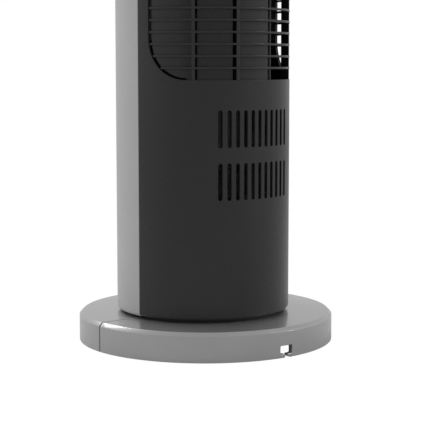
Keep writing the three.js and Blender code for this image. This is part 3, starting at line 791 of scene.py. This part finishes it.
# ------------------------------------------------------------------ air path
def smooth_path(points, spacing=2.0):
    """Points close together on a smooth curve through the given ones."""
    points = np.asarray(points, float)
    padded = np.vstack([2 * points[0] - points[1], points, 2 * points[-1] - points[-2]])
    out = []
    for p0, p1, p2, p3 in zip(padded, padded[1:], padded[2:], padded[3:]):
        steps = max(2, int(np.linalg.norm(p2 - p1) / spacing))
        for t in np.linspace(0, 1, steps, endpoint=False):
            out.append(0.5 * (2 * p1 + (p2 - p0) * t + (2 * p0 - 5 * p1 + 4 * p2 - p3) * t ** 2
                              + (3 * p1 - p0 - 3 * p2 + p3) * t ** 3))
    out.append(points[-1])
    return np.array(out)


def wall_surface(path):
    """A surface that stands on a plan path; depth goes to the path's left."""
    lengths = np.concatenate([[0], np.cumsum(np.linalg.norm(np.diff(path, axis=0), axis=1))])
    along = unit(np.gradient(path, axis=0))

    def place(s, v, depth, flags):
        x, y = (np.interp(s, lengths, path[:, k]) for k in (0, 1))
        tx, ty = (np.interp(s, lengths, along[:, k]) for k in (0, 1))
        return np.column_stack([x - depth * ty, y + depth * tx, v])
    return place, lengths


def scroll_path():
    """The scroll in plan: a lip, a bead, a round part that steps out, and a run on to the outlet."""
    step_start, step_run = -49, 4
    lip = [polar(r, a) for r, a in ((51, 14.6), (62, 15.1), (70, 15.6), (74, 15.9))]
    bead = [polar(r, a) for r, a in ((75.6, 15.6), (SCROLL_RADIUS, 14.6), (75.4, 13.9), (73.4, 13.4),
                                     (73.2, 12.6), (75.2, 12.1))]
    angles = np.linspace(11, -96, 60)
    step = SCROLL_STEP * np.clip((step_start - angles) / step_run, 0, 1)
    round_part = [polar(SCROLL_RADIUS + rise, a) for rise, a in zip(step, angles)]
    run = [polar(SCROLL_RADIUS + SCROLL_STEP - 0.1 * i, a) for i, a in enumerate(np.linspace(-104, -136, 5))]
    return smooth_path(lip + bead + round_part + run, 0.8)[::-1]


def crescent(centre, middle, side):
    """An opening along a round corner of the intake; side is 1 at the bottom and -1 at the top."""
    radius = SCROLL_CORNER
    band = 2.6
    turns = np.radians(np.linspace(183, 268, 16))
    near = np.column_stack([centre + radius * np.cos(turns), middle + side * radius * np.sin(turns)])
    radius = radius + band
    far = np.column_stack([centre + radius * np.cos(turns), middle + side * radius * np.sin(turns)])
    outline = np.vstack([near, far[::-1]])
    return outline if side > 0 else outline[::-1]


def make_scroll():
    """The blower's rear wall, with slots for two of the grille's ribs and crescents at its corners."""
    path = scroll_path()
    place, lengths = wall_surface(path)
    total = lengths[-1]
    angles = np.degrees(np.arctan2(-path[:, 0], path[:, 1]))
    on_round = np.hypot(*path.T) > SCROLL_RADIUS - 0.4

    def arc(angle):
        """Distance along the path at an angle on its round part."""
        order = np.argsort(angles[on_round])
        return float(np.interp(angle, angles[on_round][order], lengths[on_round][order]))

    columns = np.concatenate([np.arange(0, arc(9), 3.0), np.arange(arc(9), total, 0.8)])
    rows = np.linspace(SCROLL_LOW, SCROLL_HIGH, 43)
    border = trace(rounded(rectangle(0, total, SCROLL_LOW, SCROLL_HIGH, 0)), columns, rows)
    low, high = GRILLE_LOW - RIB_OVERRUN - 1, GRILLE_HIGH + RIB_OVERRUN + 1
    openings = [opening_outline(arc(start), arc(end), low, high, 0.8, 3, columns, rows)
                for start, end in SCROLL_SLOTS]
    inset = 1.4
    centre = arc(GRILLE_CENTRE - GRILLE_HALF + 0.9) + SCROLL_CORNER
    openings.append(crescent(centre, GRILLE_LOW + inset + SCROLL_CORNER, 1))
    openings.append(crescent(centre, GRILLE_HIGH - inset - SCROLL_CORNER, -1))
    solid, normals = moulded_sheet([border] + openings, grid_points(columns, rows), place, SCROLL_WALL, 0.25)
    make_piece("scroll_wall", [solid], "charcoal", "column", ["scroll_casing"], COLUMN, normals)


def make_air_guide():
    """The folded wall whose edge runs close to the impeller."""
    bends = ((76.5, 84), (64, 94), (50.5, 104), (49.5, 110), (62, 124), (76, 138))
    path = smooth_path([polar(r, a) for r, a in bends])
    place, lengths = wall_surface(path[::-1])
    columns = np.linspace(0, lengths[-1], 31)
    rows = np.linspace(SCROLL_LOW, SCROLL_HIGH, 22)
    border = trace(rounded(rectangle(0, lengths[-1], SCROLL_LOW, SCROLL_HIGH, 0)), columns, rows)
    solid, normals = moulded_sheet([border], grid_points(columns, rows), place, SCROLL_WALL, 0.3)
    make_piece("air_guide", [solid], "black_plastic", "column", ["stabilizer"], COLUMN, normals)


def make_impeller():
    """Curved blades between discs, as one drum."""
    low, high = span("impeller", Z)
    radius = 46
    blade_count = 32
    disc_count = 7
    disc = 2.5
    solids = []
    for start in np.linspace(0, 360, blade_count, endpoint=False):
        turns = np.linspace(0, 1, 6)
        r, a = 36 + 9.6 * turns, start + 8 * np.sin(turns * math.pi / 2)
        outer = np.column_stack(polar(r, a))
        inner = np.column_stack(polar(r, a + 1.3))[::-1]
        outline = np.vstack([outer, inner])
        rings = [np.column_stack([outline, np.full(len(outline), z)]) for z in (low + 1, high - 1)]
        solids.append(loft(rings))
    for i, z in enumerate(np.linspace(low, high - disc, disc_count)):
        hole = 31 if 0 < i < disc_count - 1 else 4.3
        solids.append(turned(rounded(rectangle(hole, radius, z, z + disc, 0.6)), 72))
    make_piece("impeller_drum", solids, "black_plastic", "impeller", ["impeller"], COLUMN)


# ------------------------------------------------------------------ top
def make_handle_pocket():
    """A pocket for the fingers, its floor filleted and its mouth behind the rear cover."""
    middle_z, half_z = (HANDLE_LOW + HANDLE_HIGH) / 2, (HANDLE_HIGH - HANDLE_LOW) / 2
    floor_y = COLUMN_RADIUS - HANDLE_DEPTH
    mouth_radius = COLUMN_RADIUS - WALL - 0.3

    def ring(grow, y):
        outline = rounded(rectangle(-HANDLE_HALF - grow, HANDLE_HALF + grow, middle_z - half_z - grow,
                                    middle_z + half_z + grow, 6 + grow), 6)
        depth = np.full(len(outline), y) if y is not None else np.sqrt(mouth_radius ** 2 - outline[:, 0] ** 2)
        return np.column_stack([outline[:, 0], depth, outline[:, 1]])

    fillet = 4
    turns = np.radians([0, 30, 60, 90])
    inside = [ring(-fillet * (1 - math.sin(t)), floor_y + fillet * (1 - math.cos(t))) for t in turns]
    solid = loft(inside + [ring(0, None), ring(WALL, None), ring(WALL, floor_y - WALL)])
    make_piece("handle_pocket", [solid], "black_plastic", "column", ["handle_cup"], COLUMN)


def make_cap():
    """The cap, rounded into a skirt, with the panel's opening and a collar inside the shells."""
    corner = 4.5
    skirt = CAP_TOP - corner - CAP_LOW
    flat_radius = COLUMN_RADIUS - corner
    reach = flat_radius + corner * math.pi / 2 + skirt

    def place(s, v, depth, flags):
        rho = np.maximum(np.hypot(s, v), 1e-9)
        over = np.maximum(0, rho - flat_radius)
        turn = np.minimum(over / corner, math.pi / 2)
        past = np.maximum(0, over - corner * math.pi / 2)
        radius = np.minimum(rho, flat_radius) + (corner - depth) * np.sin(turn)
        z = CAP_TOP - corner + (corner - depth) * np.cos(turn) - past
        return np.column_stack([s / rho * radius, v / rho * radius, z])

    rims = np.concatenate([np.linspace(4, flat_radius, 16), np.linspace(flat_radius, reach - skirt, 8)[1:],
                           np.linspace(reach - skirt, reach, 6)[1:-1]])
    angles = np.linspace(0, 2 * math.pi, 120, endpoint=False)
    inner = np.array([(r * math.cos(a), r * math.sin(a)) for r in rims for a in angles])
    border = np.column_stack([reach * np.cos(angles), reach * np.sin(angles)])
    half_x, half_y = PANEL_HALF_X + PANEL_GAP, PANEL_HALF_Y + PANEL_GAP
    corners = rectangle(-half_x, half_x, PANEL_Y - half_y, PANEL_Y + half_y, PANEL_CORNER + PANEL_GAP)
    opening = rounded(corners, 8)
    long_edges = np.linspace(-PANEL_HALF_X, PANEL_HALF_X, 26)
    opening = trace(opening, long_edges, long_edges + PANEL_Y)[::-1]
    solid, normals = moulded_sheet([border, opening], inner, place, WALL, SHELL_ROUNDING)
    inside = COLUMN_RADIUS - WALL
    collar = turned(rounded(rectangle(inside - 3, inside - 0.4, 728, CAP_LOW + 4, 0.4)), 120)
    make_piece("top_cover", [solid], "shell_silver", "column", ["top_cap"], COLUMN, normals)
    make_piece("top_cover_collar", [collar], "black_plastic", "column", [], COLUMN)


def make_controls():
    """The glossy fascia, its amber strip and the four button heads."""
    top = CAP_TOP + 0.6
    hole = BUTTON_RADIUS + BUTTON_GAP
    border = rounded(rectangle(-PANEL_HALF_X, PANEL_HALF_X, PANEL_Y - PANEL_HALF_Y, PANEL_Y + PANEL_HALF_Y,
                               PANEL_CORNER), 8)
    grid = np.arange(-48, 49, 4.0)
    angles = np.linspace(0, -2 * math.pi, 40, endpoint=False)
    openings = [np.column_stack([x + hole * np.cos(angles), PANEL_Y + hole * np.sin(angles)])
                for x in BUTTON_XS]
    lens = rounded(rectangle(-25.3, 25.3, PANEL_Y - 15.3, PANEL_Y - 10.7, 2.2), 4)[::-1]

    def flat(s, v, depth, flags):
        return np.column_stack([s, v, np.full(len(s), top - depth)])

    inner = grid_points(grid, grid + PANEL_Y)
    solid, normals = moulded_sheet([border, *openings, lens], inner, flat, WALL, 0.4)
    make_piece("control_fascia", [solid], "panel_gloss", "column", ["control_panel"], COLUMN, normals)

    strip = rounded(rectangle(-25, 25, PANEL_Y - 15, PANEL_Y - 11, 1.9), 6)
    make_piece("indicator_strip", [block(strip, 754, CAP_TOP + 0.9, 0.4)], "lens_amber", "column",
               ["indicator_lens"], COLUMN)
    head = rounded([(0.2, 747.6, 0), (2.5, 747.6, 0.3), (2.5, 750.6, 0.3), (8, 750.6, 0.3), (8, 752.1, 0.3),
                    (BUTTON_RADIUS, 752.1, 0.2), (BUTTON_RADIUS, 760, 1.0), (5, 760, 0.5), (0.2, 759.3, 0)])
    for x, name in zip(BUTTON_XS, ("power", "speed", "swing", "timer")):
        make_piece(f"button_head_{name}", [turned(head, 48, (x, PANEL_Y))], "button_silver", f"button_{name}",
                   [f"button_{name}"], COLUMN)


# ------------------------------------------------------------------ screws
def make_screws():
    """Pan-head screws with a cross recess, one for each screw of the frame."""
    for node, thing in sorted(frame["nodes"].items()):
        if "screw" not in node:
            continue
        low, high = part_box(node)
        centre = ((low[X] + high[X]) / 2 / MM, (low[Y] + high[Y]) / 2 / MM)
        radius = (high[X] - low[X]) / 2 / MM
        top = (high[Z] - low[Z]) / MM
        head = 0.65 * radius
        shank = radius * 0.43
        upside_down = node.startswith(("base_screw", "board_screw"))
        side, origin = (-1, high[Z] / MM) if upside_down else (1, low[Z] / MM)

        def placed(points, faces, raised=0.0):
            """A solid drawn head up from the origin, moved to where the screw is."""
            moved = points.copy()
            moved[:, 2] = origin + side * (moved[:, 2] + raised)
            moved[:, :2] += centre
            return facing_out(moved, faces)

        body = rounded([(0.1, 0, 0), (shank * 0.5, 0, 0), (shank, shank, 0.1), (shank, top - head, 0.1),
                        (radius, top - head, 0.1), (radius, top - head * 0.4, head * 0.3),
                        (radius * 0.55, top - head * 0.02, 0.3), (0.1, top - head * 0.02, 0)], 3)
        solid = placed(*turned(body, 32))
        screw = make_piece(f"{node}_head", [solid], "steel", body_of(thing)[0], [node])
        arms = [upright(-radius * 0.5, radius * 0.5, turn, radius * 0.22, top - head * 0.5, top, 0.05)
                for turn in (0, 90)]
        cut_from(screw, [placed(*arm, raised=0.02) for arm in arms])


def cut_from(thing, solids):
    """Cuts solids, given in millimetres in the world, out of a piece."""
    for points, faces in solids:
        mesh = bpy.data.meshes.new("cutter")
        mesh.from_pydata(points * MM, [], faces)
        cutter = bpy.data.objects.new("cutter", mesh)
        scene.collection.objects.link(cutter)
        modifier = thing.modifiers.new("cut", "BOOLEAN")
        modifier.object = cutter
        modifier.solver = "EXACT"
        bpy.context.view_layer.update()
        evaluated = thing.evaluated_get(bpy.context.evaluated_depsgraph_get())
        result = bpy.data.meshes.new_from_object(evaluated)
        thing.modifiers.clear()
        thing.data = result
        bpy.data.objects.remove(cutter)


# ------------------------------------------------------------------ frame nodes that stay
def finish_frame_nodes():
    """The hidden mechanism keeps its shape and gets its finish from the record's slots."""
    for part in frame["record"]["subparts"]:
        for slot in frame["nodes"][part["node"]].material_slots:
            slot.material = materials[part["material_slot"]]


# ------------------------------------------------------------------ studio
def camera_white(tree, dim_shader, output):
    """Shows plain white to the camera and the dim shader to everything else."""
    rays = tree.nodes.new("ShaderNodeLightPath")
    mix = tree.nodes.new("ShaderNodeMixShader")
    white = tree.nodes.new("ShaderNodeBackground" if tree is scene.world.node_tree else "ShaderNodeEmission")
    white.inputs["Color"].default_value = (1, 1, 1, 1)
    link(tree, rays, "Is Camera Ray", mix, "Fac")
    tree.links.new(dim_shader, mix.inputs[1])
    tree.links.new(white.outputs[0], mix.inputs[2])
    tree.links.new(mix.outputs[0], output.inputs["Surface"])


def world_shader(tree):
    """Even grey light, a little stronger at both sides and behind, and weaker from overhead."""
    place = tree.nodes.new("ShaderNodeTexCoord")
    toward = tree.nodes.new("ShaderNodeVectorMath")
    toward.operation = "DOT_PRODUCT"
    toward.inputs[1].default_value = (0.632, 0.775, 0)
    link(tree, place, "Generated", toward, 0)
    ramp = tree.nodes.new("ShaderNodeValToRGB")
    ramp.color_ramp.interpolation = "EASE"
    stops = ((0.0, 0.54), (0.42, 0.64), (0.62, 0.62), (1.0, 0.36))
    while len(ramp.color_ramp.elements) < len(stops):
        ramp.color_ramp.elements.new(0.5)
    for element, (position, value) in zip(ramp.color_ramp.elements, stops):
        element.position = position
        element.color = (value, value, value, 1)
    half = tree.nodes.new("ShaderNodeMapRange")
    half.inputs["From Min"].default_value = -1
    link(tree, toward, "Value", half, "Value")
    link(tree, half, "Result", ramp, "Fac")
    height = tree.nodes.new("ShaderNodeVectorMath")
    height.operation = "DOT_PRODUCT"
    height.inputs[1].default_value = (0, 0, 1)
    link(tree, place, "Generated", height, 0)
    overhead = tree.nodes.new("ShaderNodeMapRange")
    overhead.interpolation_type = "SMOOTHSTEP"
    overhead.inputs["From Min"].default_value = 0.35
    overhead.inputs["To Min"].default_value = 1
    overhead.inputs["To Max"].default_value = 0.75
    link(tree, height, "Value", overhead, "Value")
    dim = tree.nodes["Background"]
    link(tree, ramp, "Color", dim, "Color")
    link(tree, overhead, "Result", dim, "Strength")
    return dim.outputs[0]


def softbox(name, toward, distance, size, energy):
    """A rectangular soft light that shines from a direction towards the lower part of the fan."""
    data = bpy.data.lights.new(name, "AREA")
    data.shape = "RECTANGLE"
    data.size, data.size_y = size
    data.energy = energy
    lamp = bpy.data.objects.new(name, data)
    toward = Vector(toward).normalized()
    lamp.location = toward * distance + Vector((0, 0, 0.15))
    lamp.rotation_euler = toward.to_track_quat("Z", "Y").to_euler()
    scene.collection.objects.link(lamp)


def make_studio():
    """An even grey studio with a large soft light behind to the left and a small one to the right."""
    world = bpy.data.worlds.new("studio")
    scene.world = world
    world.use_nodes = True
    tree = world.node_tree
    camera_white(tree, world_shader(tree), tree.nodes["World Output"])

    floor_mesh = bpy.data.meshes.new("floor")
    reach = 4
    corners = [(-reach, -reach, 0), (reach, -reach, 0), (reach, reach, 0), (-reach, reach, 0)]
    floor_mesh.from_pydata(corners, [], [(0, 1, 2, 3)])
    material = bpy.data.materials.new("floor")
    material.use_nodes = True
    tree = material.node_tree
    matt = tree.nodes["Principled BSDF"]
    matt.inputs["Base Color"].default_value = (0.75, 0.75, 0.75, 1)
    matt.inputs["Roughness"].default_value = 0.9
    camera_white(tree, matt.outputs[0], tree.nodes["Material Output"])
    floor_mesh.materials.append(material)
    floor = bpy.data.objects.new("floor", floor_mesh)
    scene.collection.objects.link(floor)

    softbox("softbox_left", (0.12, -0.75, 0.66), 1.8, (0.8, 0.6), 8)
    softbox("softbox_right", (-0.672, 0.60, 0.43), 1.8, (0.14, 0.22), 2.2)
    scene.view_settings.view_transform = "Standard"


materials = make_materials()
make_camera()
make_studio()
make_base()
make_feet()
make_shells()
make_intake_grille()
make_outlet_grille()
make_scroll()
make_air_guide()
make_impeller()
make_handle_pocket()
make_cap()
make_controls()
make_screws()
finish_frame_nodes()
